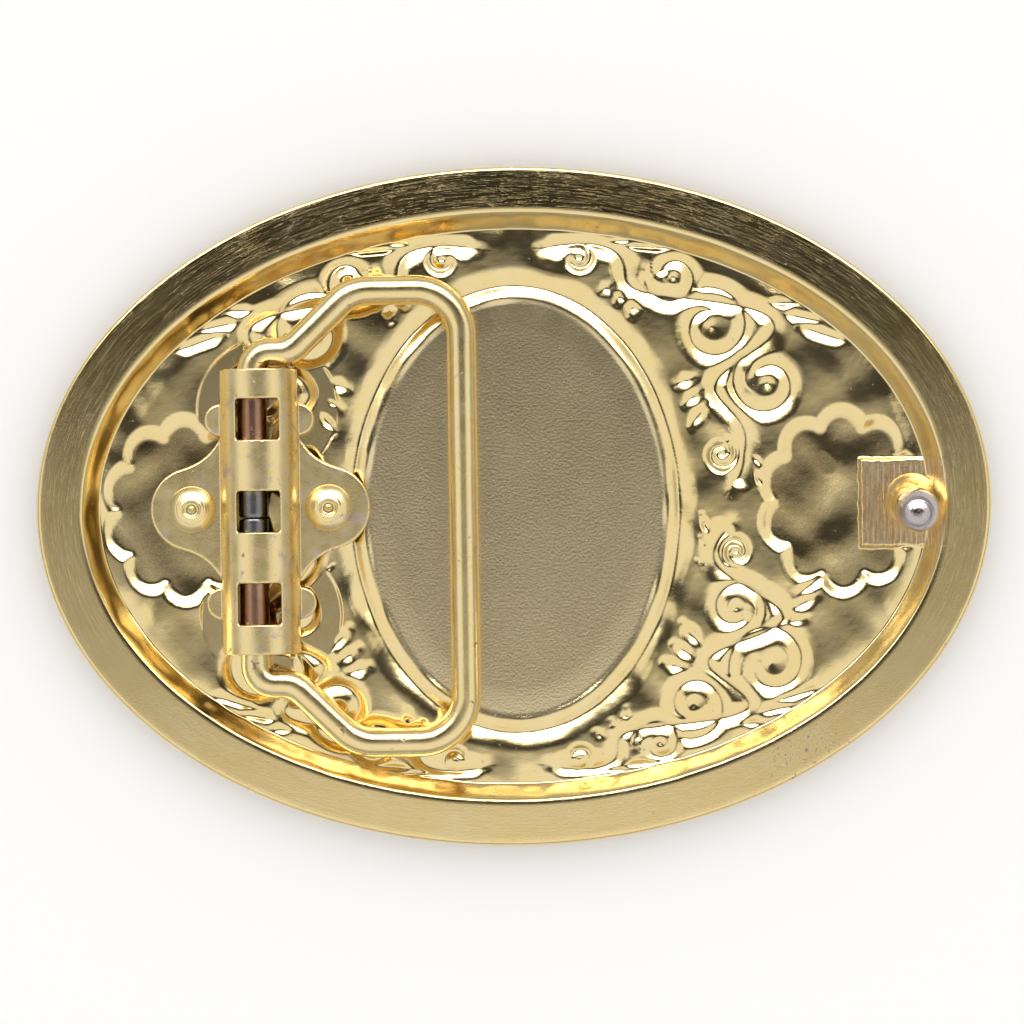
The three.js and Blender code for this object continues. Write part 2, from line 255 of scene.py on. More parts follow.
def running_scroll(side, crests):
    """One quarter's grooves, each (depth, left width, right width, line), and its pits."""
    stem = [stem_point(side, crests, i / STEM_KNOTS) for i in range(STEM_KNOTS * crests + 1)]
    grooves, pits = [(*STEM, spline(stem))], []
    for k in range(crests):
        outward = 1 if k % 2 == 0 else -1
        turn, middle, room = band_place(side, crests, k + 0.5)
        width = room * math.dist(ground_point(turn, 0), ground_point(turn, 1))
        grade = min(1.0, max(LEAST_GRADE, width / FULL_BAND))
        x, y = ground_point(turn, middle - outward * CURL_SHIFT * room)
        from_x, from_y = stem_point(side, crests, k)
        start = math.degrees(math.atan2(from_y - y, from_x - x))
        radius = CURL_SIZE * width
        line = spiral(x, y, radius, CURL_EYE * radius, start, start - side * outward * CURL_SWEEP)
        grooves.append((*graded(CURL, grade), line))
        pits.append((x, y, PIT_SIZE * radius, PIT_DEPTH))
        for leaf in (-1, 0, 1):
            root = ground_point(turn + leaf * LEAF_FAN, middle + outward * LEAF_ROOT * room)
            lean = (leaf * LEAF_LEAN - side) * LEAF_FAN
            tip = ground_point(turn + lean, middle + outward * LEAF_TIP * room)
            grooves.append((*graded(LEAF, grade), spline([root, tip])))
    return grooves, pits


def groove_depth(x, y, groove):
    depth, left, right, line = groove
    reach = max(left, right)
    low, high = line.min(0) - reach, line.max(0) + reach
    near = (x > low[0]) & (x < high[0]) & (y > low[1]) & (y < high[1])
    made = np.zeros(x.shape)
    distance, side, along, total = nearest(x[near], y[near], line)
    width = np.where(side > 0, left, right)
    taper = 0.35 + 0.65 * smooth(np.minimum(along, total - along) / GROOVE_TIP)
    width = width * (0.6 + 0.4 * taper)
    made[near] = PRESS * depth * taper * flank(np.sqrt(distance**2 + CREASE_ROUND**2) / width)
    return made


def inside(x, y, line):
    """True inside a closed polyline."""
    found = np.zeros(x.shape, bool)
    for (ax, ay), (bx, by) in zip(line, np.roll(line, -1, axis=0)):
        crosses = (ay > y) != (by > y)
        found ^= crosses & (x < (bx - ax) * (y - ay) / (by - ay + 1e-12) + ax)
    return found


def cartouche_line():
    turn = np.linspace(0, 2 * math.pi, 360)
    size = 1 - CARTOUCHE_PINCH * (1 - np.abs(np.sin(CARTOUCHE_LOBES * turn / 2)) ** 0.8)
    return np.stack([CARTOUCHE_MIDDLE[0] + CARTOUCHE_HALF[0] * size * np.cos(turn),
                     CARTOUCHE_MIDDLE[1] + CARTOUCHE_HALF[1] * size * np.sin(turn)], 1)


def cartouche_depth(x, y):
    line = cartouche_line()
    made = np.zeros(x.shape)
    low, high = line.min(0) - CARTOUCHE_WALL, line.max(0) + CARTOUCHE_WALL
    near = (x > low[0]) & (x < high[0]) & (y > low[1]) & (y < high[1])
    distance = nearest(x[near], y[near], line)[0]
    signed = np.where(inside(x[near], y[near], line), distance, -distance)
    made[near] = CARTOUCHE_DEPTH * smooth(0.5 + signed / CARTOUCHE_WALL)
    return made


def ring_radius(x, y):
    """The height of the rim's own ring through a point: HALF_HEIGHT at the outer edge."""
    r = np.hypot(x * HALF_HEIGHT / HALF_LENGTH, y)
    for _ in range(6):
        r = r * np.sqrt((x / (r + STRETCH)) ** 2 + (y / np.maximum(r, 1e-6)) ** 2)
    return r


def field_offset(x, y):
    """Distance outside the crease round the medallion field, nearly."""
    px, py = (x - FIELD_MIDDLE[0]) / FIELD_HALF[0], (y - FIELD_MIDDLE[1]) / FIELD_HALF[1]
    r = np.hypot(px, py)
    slope = np.hypot(px / FIELD_HALF[0], py / FIELD_HALF[1]) / np.maximum(r, 1e-6)
    return (r - 1) / np.maximum(slope, 1e-6)


def wavy(x, y, size, seed):
    """Gentle uneven waves about `size` across, mostly between -1 and 1."""
    draw = np.random.default_rng(seed)
    total = np.zeros(x.shape)
    for i in range(WAVES):
        angle, phase = i * math.pi / WAVES + draw.uniform(0, 0.3), draw.uniform(0, 2 * math.pi)
        rate = 2 * math.pi / (size * draw.uniform(0.7, 1.6))
        total += np.sin((x * math.cos(angle) + y * math.sin(angle)) * rate + phase)
    return total / math.sqrt(WAVES)


def swell(x, y):
    return sum(height * wavy(x, y, size, seed) for height, size, seed in SWELLS)


SCROLLS = [running_scroll(side, crests) for side, crests in QUARTERS]
GROOVES = [groove for grooves, _ in SCROLLS for groove in grooves]
PITS = [pit for _, pits in SCROLLS for pit in pits]


def press_depth(x, y):
    """How far the die pushes the ground down, everywhere inside the rim's wall."""
    fold = np.abs(x)
    depths = [groove_depth(fold, y, g) for g in GROOVES]
    depths += [d * flank(np.hypot(fold - px, y - py) / r) for px, py, r, d in PITS]
    depths.append(cartouche_depth(fold, y))
    off = field_offset(x, y)
    crease_width = np.where(off > 0, FIELD_BORDER, FIELD_CREASE_INNER)
    depths.append(FIELD_CREASE * flank(np.hypot(off, CREASE_ROUND) / crease_width))
    depths.append(WALL_CREASE * flank((WALL_FOOT - ring_radius(x, y)) / 2.0))
    total = sum(np.maximum(d, 0) ** BLEND for d in depths) ** (1 / BLEND)
    half_width, low, kept = COLUMN
    total = total * (1 - kept * np.exp(-(x / half_width) ** 2) * smooth(y - low))
    return total, off


def pressed_height(x, y):
    """The back of the sheet as pressed, and the distance outside the crease round the field."""
    depth, off = press_depth(x, y)
    z = np.minimum(GROUND - SWELL_DROP + swell(x, y), GROUND - SWELL_GAP) - depth
    sunk = smooth(-(off + 1.1) / 0.8)
    field_z = GROUND - FIELD_SINK - FIELD_DOME * (1 - smooth(-off / FIELD_DOME_WIDTH))
    return z * (1 - sunk) + field_z * sunk, off


def back_height(x, y):
    """The height of the plate's back, with its milled flats."""
    z, off = pressed_height(x, y)
    for cx, cy in SPOT_FACES:
        cut = smooth((SPOT_RADIUS - np.hypot(x - cx, y - cy)) / 0.25) * (off > 0.3)
        z = np.where(z > SPOT_FLOOR, z * (1 - cut) + SPOT_FLOOR * cut, z)
    edge = np.minimum.reduce([x - SEAT_LOW[0], SEAT_HIGH[0] - x, y - SEAT_LOW[1], SEAT_HIGH[1] - y])
    ragged, size, seed = SEAT_RAGGED
    cut = smooth(0.5 + (edge + ragged * wavy(x, y, size, seed)) / SEAT_EDGE)
    chatter = CHATTER[0] * np.sin(x * 2 * math.pi / CHATTER[1]) * smooth(edge / 0.5)
    return z * (1 - cut) + (SEAT_FLOOR + chatter) * cut


def front_height(x, y):
    """The height of the decorated face; it lies on the crest of the bead round the field."""
    z, off = pressed_height(x, y)
    beside = (np.abs(off) - BEAD_CREST) / (BEAD_HALF - BEAD_CREST)
    return np.maximum(np.minimum(z - SHEET, (GROUND - SHEET) * smooth(beside)), 0.0)


# ---- Meshes --------------------------------------------------------------------------------------------


def new_mesh(name, points, faces, material, sharp_from, body=ROOT, bare_and_shade=None):
    mesh = bpy.data.meshes.new(name)
    mesh.from_pydata(np.asarray(points) * MM, [], faces)
    mesh.materials.append(material)
    mesh.shade_smooth()
    piece = bpy.data.objects.new(name, mesh)
    bpy.context.scene.collection.objects.link(piece)
    # This mask carries worn bare metal on the stud, and painted shade on the wire inside the arch.
    if bare_and_shade is not None:
        mesh.attributes.new("bare_and_shade", "FLOAT", "POINT").data.foreach_set("value", bare_and_shade.astype(np.float32))
    mesh.set_sharp_from_angle(angle=math.radians(sharp_from))
    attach(piece, body)
    return piece


def quads(rings, around, flip=False):
    """Faces between `rings` closed rings of `around` points each."""
    i, j = np.meshgrid(np.arange(rings - 1), np.arange(around), indexing="ij")
    k = (j + 1) % around
    faces = np.stack([i * around + j, (i + 1) * around + j, (i + 1) * around + k, i * around + k], -1)
    faces = faces.reshape(-1, 4)
    return faces[:, ::-1] if flip else faces


def fast_mesh(name, points, faces4, fans, material, attributes):
    """A mesh from an array of quads and a few triangle fans, each (centre index, ring indices)."""
    triangles = []
    for centre, ring in fans:
        triangles.append(np.stack([np.full(len(ring), centre), ring, np.roll(ring, -1)], 1))
    triangles = np.vstack(triangles)
    loops = np.concatenate([faces4.ravel(), triangles.ravel()])
    counts = np.concatenate([np.full(len(faces4), 4), np.full(len(triangles), 3)])
    mesh = bpy.data.meshes.new(name)
    mesh.vertices.add(len(points))
    mesh.vertices.foreach_set("co", (points * MM).astype(np.float32).ravel())
    mesh.loops.add(len(loops))
    mesh.loops.foreach_set("vertex_index", loops.astype(np.int32))
    mesh.polygons.add(len(counts))
    starts = np.concatenate([[0], np.cumsum(counts)[:-1]])
    mesh.polygons.foreach_set("loop_start", starts.astype(np.int32))
    mesh.update(calc_edges=True)
    mesh.validate()
    mesh.shade_smooth()
    for key, values in attributes.items():
        mesh.attributes.new(key, "FLOAT", "POINT").data.foreach_set("value", values.astype(np.float32))
    mesh.materials.append(material)
    piece = bpy.data.objects.new(name, mesh)
    bpy.context.scene.collection.objects.link(piece)
    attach(piece, ROOT)
    return piece


def make_plate(material):
    around, inner_rings = ((1100, 250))
    turn = np.linspace(0, 2 * math.pi, around, endpoint=False)
    foot = (WALL_FOOT + STRETCH, WALL_FOOT)
    share = (np.arange(1, inner_rings + 1) / inner_rings) ** RING_SPACING
    rows = []
    for s in share:
        x, y = foot[0] * s * np.cos(turn), foot[1] * s * np.sin(turn)
        rows.append(np.stack([x, y, back_height(x, y)], 1))
    foot_z = rows[-1][:, 2]

    def rim_row(r, z):
        return np.stack([(r + STRETCH) * np.cos(turn), r * np.sin(turn), np.broadcast_to(z, turn.shape)], 1)

    wall_steps, band_steps, round_steps = 14, 10, 7
    waves, size, seed = WALL_WAVES
    for i in range(1, wall_steps + 1):
        t = i / wall_steps
        z = foot_z + (RIM_BACK - foot_z) * ((1 - WALL_ROUND) * t + WALL_ROUND * smooth(t))
        r = WALL_FOOT + WALL_RUN * t
        uneven = wavy((r + STRETCH) * np.cos(turn), r * np.sin(turn), size, seed)
        rows.append(rim_row(r, z + waves * math.sin(math.pi * t) * uneven))
    for i in range(1, band_steps + 1):
        t = i / band_steps
        r = RIM_EDGE + BAND_BREAK + (RIM_WIDTH - LIP - BAND_BREAK) * t
        rows.append(rim_row(r, RIM_BACK - RIM_FALL * t))
    top = RIM_BACK - RIM_FALL
    for i in range(1, round_steps + 1):
        a = math.pi / 2 * i / round_steps
        rows.append(rim_row(HALF_HEIGHT - LIP + LIP * math.sin(a), top - LIP * (1 - math.cos(a))))
    under = RIM_BACK - SHEET
    rows.append(rim_row(HALF_HEIGHT, under + UNDER_ROUND))
    rows.append(rim_row(HALF_HEIGHT - UNDER_STEP, under + UNDER_STEP))
    rows.append(rim_row(HALF_HEIGHT - UNDER_ROUND, under))
    for t in (0.25, 0.5, 0.75):
        rows.append(rim_row(HALF_HEIGHT - UNDER_ROUND - (RIM_WIDTH - FACE_BEND) * t, under))
    face_foot = WALL_FOOT + FACE_FOOT
    x0, y0 = (face_foot + STRETCH) * np.cos(turn), face_foot * np.sin(turn)
    foot_height = front_height(x0, y0)
    for t in np.linspace(0, 1, 11):
        r = RIM_EDGE + FACE_BEND + (face_foot - RIM_EDGE - FACE_BEND) * t
        rows.append(rim_row(r, under + (foot_height - under) * smooth(t)))
    front_rings = inner_rings // 2
    for s in ((np.arange(1, front_rings) / front_rings) ** RING_SPACING)[::-1]:
        x, y = (face_foot + STRETCH) * s * np.cos(turn), face_foot * s * np.sin(turn)
        rows.append(np.stack([x, y, front_height(x, y)], 1))
    rings = len(rows)
    zero = np.zeros(1)
    points = np.vstack(rows + [[[0, 0, back_height(zero, zero)[0]], [0, 0, front_height(zero, zero)[0]]]])
    faces = quads(rings, around)
    first = np.arange(around)
    last = (rings - 1) * around + np.arange(around)
    x, y, z = points.T
    off = field_offset(x, y)
    radius = ring_radius(x, y)
    is_back = np.zeros(len(points))
    is_back[: (inner_rings + wall_steps + band_steps + round_steps) * around] = 1
    is_back[-2] = 1
    seat = np.minimum.reduce([x - SEAT_LOW[0], SEAT_HIGH[0] - x, y - SEAT_LOW[1], SEAT_HIGH[1] - y])
    spot = np.max([SPOT_RADIUS - np.hypot(x - cx, y - cy) for cx, cy in SPOT_FACES], axis=0)
    spot = smooth(spot / 0.2) * (np.abs(z - SPOT_FLOOR) < 0.03)
    attributes = {
        "field": smooth(-(off + 1.0) / 0.6) * is_back,
        "band": smooth((radius - RIM_EDGE + 0.1) / 0.3) * is_back,
        "milled": np.maximum(smooth(0.5 + seat / 0.2), SPOT_MARKS * spot) * is_back,
        "crease": smooth((press_depth(x, y)[0] - 0.42) / 0.3) * is_back,
        "ring": radius,
        "turn_x": np.cos(np.arctan2(y, x)),
        "turn_y": np.sin(np.arctan2(y, x)),
    }
    fans = [(len(points) - 2, first), (len(points) - 1, last[::-1])]
    piece = fast_mesh("stamped_plate", points, faces, fans, material, attributes)
    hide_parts("plate")
    return piece


def lathe(name, profile, middle, material, lean=None, bare_from=None):
    """A turned piece about Z; profile is (radius, height) from the axis below to the axis above."""
    segments = 96
    turn = np.linspace(0, 2 * math.pi, segments, endpoint=False)
    body = [p for p in profile if p[0] > 1e-6]
    points = [np.stack([r * np.cos(turn), r * np.sin(turn), np.full(segments, h)], 1) for r, h in body]
    points = np.vstack(points + [[[0, 0, profile[0][1]], [0, 0, profile[-1][1]]]])
    if lean:
        collar, slant = lean
        points[:, 1] -= slant * np.maximum(points[:, 2] - collar, 0)
    faces = [list(f) for f in quads(len(body), segments, flip=True)]
    bottom, top = len(points) - 2, len(points) - 1
    last = (len(body) - 1) * segments
    for j in range(segments):
        k = (j + 1) % segments
        faces.append([bottom, k, j])
        faces.append([top, last + j, last + k])
    bare_and_shade = None if bare_from is None else smooth((points[:, 2] - bare_from) / 0.8)
    points = points + np.array([middle[0], middle[1], 0])
    return new_mesh(name, points, faces, material, 50, bare_and_shade=bare_and_shade)


def tool_rings(r, marks):
    """Height of the turning marks at radius r; marks is (height, spacing, outer end, fade)."""
    height, spacing, end, fade = marks
    return height * math.sin(r * 2 * math.pi / spacing) * float(smooth((end - r) / fade))


def bump(r, height, radius, slope):
    """A round bump on the axis."""
    return height * float(smooth((radius - r) / slope))


def make_rivet(name, material):
    low, high = RIVET_BOXES[name]
    radius = (high[0] - low[0]) / 2
    under = BRACKET_LOW[2] + BRACKET["sheet"]
    rise = high[2] - under
    inset, lift = RIVET_CORNER
    profile = [(0, low[2]), (RIVET_SHANK, low[2]), (RIVET_SHANK, under - RIVET_SEAT)]
    profile += [(radius - inset, under - RIVET_SEAT), (radius, under + lift)]
    profile += [(radius - inward, under + up) for inward, up in RIVET_RIM]
    rim = RIVET_RIM[-1][1]
    for i in range(1, RIVET_STEPS):
        r = radius * (1 - i / RIVET_STEPS) - RIVET_INSET
        if r < 0.02:
            break
        dome = under + rim + (rise - rim) * (1 - (r / radius) ** RIVET_CROWN)
        marks = tool_rings(r, RIVET_RINGS) - bump(r, *RIVET_DIMPLE) + bump(r, *RIVET_NIPPLE)
        profile.append((r, dome + marks))
    profile.append((0, profile[-1][1] + 0.01))
    piece = lathe(name + "_head", profile, (low + high) / 2, material)
    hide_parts(name)
    return piece


def make_stud(material):
    foot = (STUD_HIGH[0] - STUD_LOW[0]) / 2
    middle = ((STUD_LOW[0] + STUD_HIGH[0]) / 2, STUD_HIGH[1] - foot)
    low, top = STUD_LOW[2], STUD_HIGH[2]
    head_middle = low + STUD_HEAD_MIDDLE
    chamfer, side_end, foot_end = STUD_FOOT
    profile = [(0, low), (foot - chamfer, low), (foot, low + chamfer)]
    profile += [(foot, low + side_end), (foot - chamfer, low + foot_end)]
    for i in range(1, 13):
        t = i / 12
        r = STUD_NECK + (foot - 0.1 - STUD_NECK) * (1 - t) ** STUD_FLARE_POWER
        profile.append((r, low + foot_end + STUD_FLARE * t))
    profile.append((STUD_NECK, head_middle - STUD_NECK_END))
    for i in range(1, 12):
        a = math.radians(STUD_HEAD_START * (1 - i / 12))
        r = max(STUD_HEAD * math.cos(a), STUD_NECK)
        profile.append((r, head_middle + STUD_HEAD * STUD_UNDER * math.sin(a)))
    for i in range(0, 44):
        a = math.radians(90 * i / 44)
        r = STUD_HEAD * math.cos(a)
        up = (top - head_middle) * math.sin(a) + tool_rings(r, STUD_RINGS) - STUD_TOP_GAP
        profile.append((r, head_middle + up))
    profile.append((0, top - STUD_TOP_GAP))
    collar, degrees = STUD_LEAN
    lean = (low + collar, math.tan(math.radians(degrees)))
    piece = lathe("belt_stud_turned", profile, middle, material, lean=lean, bare_from=low + STUD_WORN)
    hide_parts("belt_stud")
    return piece


# The bail's centre line, from the pivot outwards and across, as (along, across, bend radius).
BAIL_HALF = [(0, 0.1, 0), (0, 16.55, 1.9), (3.8, 16.55, 3.0), (10.0, 22.6, 4.5), (21.0, 22.6, 4.6)]
BAIL_MIDDLE_Y = -0.85
WIRE_RADIUS = 1.5
WIRE_GAP, WIRE_END, WIRE_UNEVEN = 0.01, 0.08, 0.012  # taken off the radius: all along, at its ends, in waves
BEND_SQUEEZE = 0.045  # how much flatter the wire is in its bends
BAR_CLEARANCE = 0.1


def bail_line():
    half = [(np.array([a, b]), bend) for a, b, bend in BAIL_HALF]
    other = [(p * [1, -1], bend) for p, bend in reversed(half)]
    corners = half + other
    made = [corners[0][0]]
    for (before, _), (at, bend), (after, _) in zip(corners[:-2], corners[1:-1], corners[2:]):
        arrive = (at - before) / np.linalg.norm(at - before)
        leave = (after - at) / np.linalg.norm(after - at)
        turn = math.acos(float(np.clip(arrive @ leave, -1, 1)))
        run = bend * math.tan(turn / 2)
        a, d = at - arrive * run, at + leave * run
        grip = 4 / 3 * math.tan(turn / 4) * bend
        b, c = a + arrive * grip, d - leave * grip
        t = np.linspace(0, 1, max(4, int(turn * bend / LINE_STEP)))[:, None]
        made.extend((1 - t) ** 3 * a + 3 * t * (1 - t) ** 2 * b + 3 * t * t * (1 - t) * c + t**3 * d)
    made.append(corners[-1][0])
    made = np.array(made)
    run = np.concatenate([[0], np.cumsum(np.linalg.norm(np.diff(made, axis=0), axis=1))])
    even = np.linspace(0, run[-1], int(run[-1] / LINE_STEP))
    return np.stack([np.interp(even, run, made[:, 0]), np.interp(even, run, made[:, 1])], 1)


def make_bail(material):
    line = bail_line()
    tilt = math.asin((PIVOT[2] - GROUND - BAR_CLEARANCE - WIRE_RADIUS) / BAIL_HALF[-1][0])
    tangent = np.gradient(line, axis=0)
    tangent /= np.linalg.norm(tangent, axis=1)[:, None]
    normal = np.stack([tangent[:, 1], -tangent[:, 0]], 1)
    count, sides = len(line), 28
    turn = np.linspace(0, 2 * math.pi, sides, endpoint=False)
    along = np.linspace(0, 1, count)
    bend = np.abs(np.gradient(np.unwrap(np.arctan2(tangent[:, 1], tangent[:, 0])))) / LINE_STEP
    squeeze = BEND_SQUEEZE * np.convolve(bend * 3, np.ones(9) / 9, "same").clip(0, 1)
    rows = []
    for i in range(count):
        end = min(i, count - 1 - i)
        radius = WIRE_RADIUS - WIRE_GAP - (WIRE_END if end == 0 else 0.0)
        radius -= WIRE_UNEVEN * (1 + math.sin(along[i] * 61) * math.sin(along[i] * 23))
        across = radius * np.cos(turn)
        up = radius * (1 - squeeze[i]) * np.sin(turn)
        x = line[i, 0] + normal[i, 0] * across
        y = line[i, 1] + normal[i, 1] * across
        rows.append(np.stack([x, y, up], 1))
    points = np.vstack(rows + [[[*line[0], 0], [*line[-1], 0]]])
    # Painted shade: the wire inside the bracket's arch is marked for a dark brown colour.
    arch_shade = smooth((BRACKET["length"] / 2 - 0.5 - np.abs(points[:, 1])) / 0.8) * smooth(2.5 - points[:, 0])
    x, z = points[:, 0].copy(), points[:, 2].copy()
    points[:, 0] = x * math.cos(tilt) + z * math.sin(tilt)
    points[:, 2] = -x * math.sin(tilt) + z * math.cos(tilt)
    points += [PIVOT[0], BAIL_MIDDLE_Y, PIVOT[2]]
    faces = [list(f) for f in quads(count, sides)]
    last = (count - 1) * sides
    for j in range(sides):
        k = (j + 1) % sides
        faces.append([len(points) - 2, j, k])
        faces.append([len(points) - 1, last + k, last + j])
    piece = new_mesh("wire_bail", points, faces, material, 60, body="bail", bare_and_shade=arch_shade)
    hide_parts("bail")
    return piece


# ---- Hinge bracket --------------------------------------------------------------------------------------

BRACKET_X, BRACKET_Y = -25.4, -0.2
BRACKET = {
    "length": 28.5, "half": 3.85, "sheet": 0.9, "spring": 4.1, "rise": 3.5,
    "ear_reach": 6.85, "ear_lift": 0.3, "ear_radius": 4.15, "ear_root": 7.3,
    "ear_tangent": 75, "ear_sweep": 2.6, "root_sweep": (0.7, 1.2),
    "foot_reach": 5.5, "foot_radius": 1.6,
    "pitch": 9.2, "window": (4.3, 4.1), "hole": 1.28,
}
VOXEL = 0.11  # fineness of the bracket's even mesh
ARCH_TRIM = 0.05  # radians left out at each end of the arch, where it meets its straight legs


def bezier(a, b, c, d, count=14):
    t = np.linspace(0, 1, count)[:, None]
    a, b, c, d = (np.array(p, float) for p in (a, b, c, d))
    return (1 - t) ** 3 * a + 3 * t * (1 - t) ** 2 * b + 3 * t * t * (1 - t) * c + t**3 * d


def arc(cx, cy, radius, start, end, count=24):
    t = np.linspace(start, end, count)
    return np.stack([cx + radius * np.cos(t), cy + radius * np.sin(t)], 1)


def ear_outline():
    k = BRACKET
    tangent = math.radians(k["ear_tangent"])
    jx = k["ear_reach"] + k["ear_radius"] * math.cos(tangent)
    jy = k["ear_radius"] * math.sin(tangent)
    lx, ly = jx - k["ear_sweep"] * math.sin(tangent), jy + k["ear_sweep"] * math.cos(tangent)
    half, root = k["half"], k["ear_root"]
    rx, ry = half + k["root_sweep"][0], root - k["root_sweep"][1]
    lower = bezier((half, -root), (rx, -ry), (lx, -ly), (jx, -jy))
    upper = bezier((jx, jy), (lx, ly), (rx, ry), (half, root))
    end = arc(k["ear_reach"], 0, k["ear_radius"], -tangent, tangent)
    outline = np.vstack([[(half - 0.5, -root)], lower, end[1:-1], upper, [(half - 0.5, root)]])
    return outline + [0, k["ear_lift"]]


def prism(outline, low, high, along="z"):
    """A bmesh solid: an outline pushed from low to high along an axis."""
    made = bmesh.new()
    order = {"z": lambda p, h: (p[0], p[1], h), "y": lambda p, h: (p[0], h, p[1])}[along]
    bottom = [made.verts.new(order(p, low)) for p in outline]
    top = [made.verts.new(order(p, high)) for p in outline]
    made.faces.new(bottom[::-1])
    made.faces.new(top)
    for i in range(len(outline)):
        j = (i + 1) % len(outline)
        made.faces.new([bottom[i], bottom[j], top[j], top[i]])
    bmesh.ops.recalc_face_normals(made, faces=made.faces)
    return made


def loose_object(made, name):
    mesh = bpy.data.meshes.new(name)
    for v in made.verts:
        v.co *= MM
    made.to_mesh(mesh)
    made.free()
    piece = bpy.data.objects.new(name, mesh)
    bpy.context.scene.collection.objects.link(piece)
    return piece


def combine(base, other, operation):
    modifier = base.modifiers.new(operation, "BOOLEAN")
    modifier.operation = operation
    modifier.solver = "EXACT"
    modifier.object = other
    apply_modifiers(base)
    bpy.data.objects.remove(other)


def apply_modifiers(piece):
    graph = bpy.context.evaluated_depsgraph_get()
    mesh = bpy.data.meshes.new_from_object(piece.evaluated_get(graph))
    piece.modifiers.clear()
    piece.data = mesh


def rounded_box(cx, cy, width, length, radius, low, high):
    hx, hy = width / 2 - radius, length / 2 - radius
    outline = []
    for qx, qy, a in ((1, -1, -0.5), (1, 1, 0), (-1, 1, 0.5), (-1, -1, 1)):
        outline.extend(arc(cx + qx * hx, cy + qy * hy, radius, a * math.pi, (a + 0.5) * math.pi, 5))
    return prism(outline, low, high)


def make_bracket(material):
    k = BRACKET
    legs, inside_half = k["spring"], k["half"] - k["sheet"]
    turn = np.linspace(ARCH_TRIM, math.pi - ARCH_TRIM, 40)
    crown = np.stack([k["half"] * np.cos(turn), legs + k["rise"] * np.sin(turn)], 1)
    vault = np.stack([inside_half * np.cos(turn), legs + (k["rise"] - k["sheet"]) * np.sin(turn)], 1)[::-1]
    outer = np.vstack([[(k["half"], GROUND), (k["half"], legs)], crown,
                       [(-k["half"], legs), (-k["half"], GROUND)]])
    inner = np.vstack([[(-inside_half, GROUND), (-inside_half, legs)], vault,
                       [(inside_half, legs), (inside_half, GROUND)]])
    half_length = k["length"] / 2
    bracket = loose_object(prism(np.vstack([outer, inner]), -half_length, half_length, "y"), "bracket")
    ear = ear_outline()
    for side in (1, -1):
        combine(bracket, loose_object(prism(ear * [side, 1], GROUND, GROUND + k["sheet"]), "ear"), "UNION")
        for row in (-1, 1):
            cx, y = side * (k["foot_reach"] - k["foot_radius"]), row * k["pitch"]
            foot = arc(cx, y, k["foot_radius"], -math.pi / 2, math.pi / 2, 16) if side > 0 else \
                arc(cx, y, k["foot_radius"], math.pi / 2, 1.5 * math.pi, 16)
            root = side * (inside_half + 0.3)
            foot = np.vstack([foot, [(root, foot[-1][1]), (root, foot[0][1])]])
            combine(bracket, loose_object(prism(foot, GROUND, GROUND + k["sheet"]), "foot"), "UNION")
    for row in (-1, 0, 1):
        hole = rounded_box(0, row * k["pitch"], *k["window"], 0.2, legs + 0.6, legs + k["rise"] + 1)
        combine(bracket, loose_object(hole, "window"), "DIFFERENCE")
    for side in (-1, 1):
        hole = prism(arc(side * k["ear_reach"], k["ear_lift"], k["hole"], 0, 2 * math.pi * 23 / 24, 24),
                     GROUND - 1, GROUND + 2)
        combine(bracket, loose_object(hole, "hole"), "DIFFERENCE")
    bracket.data.transform(Matrix.Translation((BRACKET_X * MM, BRACKET_Y * MM, 0)))
    remesh = bracket.modifiers.new("even", "REMESH")
    remesh.mode = "VOXEL"
    remesh.voxel_size = VOXEL * MM
    soften = bracket.modifiers.new("soften", "SMOOTH")
    soften.factor = 0.5
    soften.iterations = 4
    apply_modifiers(bracket)
    bracket.name = "hinge_bracket_formed"
    bracket.data.materials.clear()
    bracket.data.materials.append(material)
    bracket.data.shade_smooth()
    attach(bracket, ROOT)
    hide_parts("hinge_bracket")
    return bracket


# ---- Materials ------------------------------------------------------------------------------------------


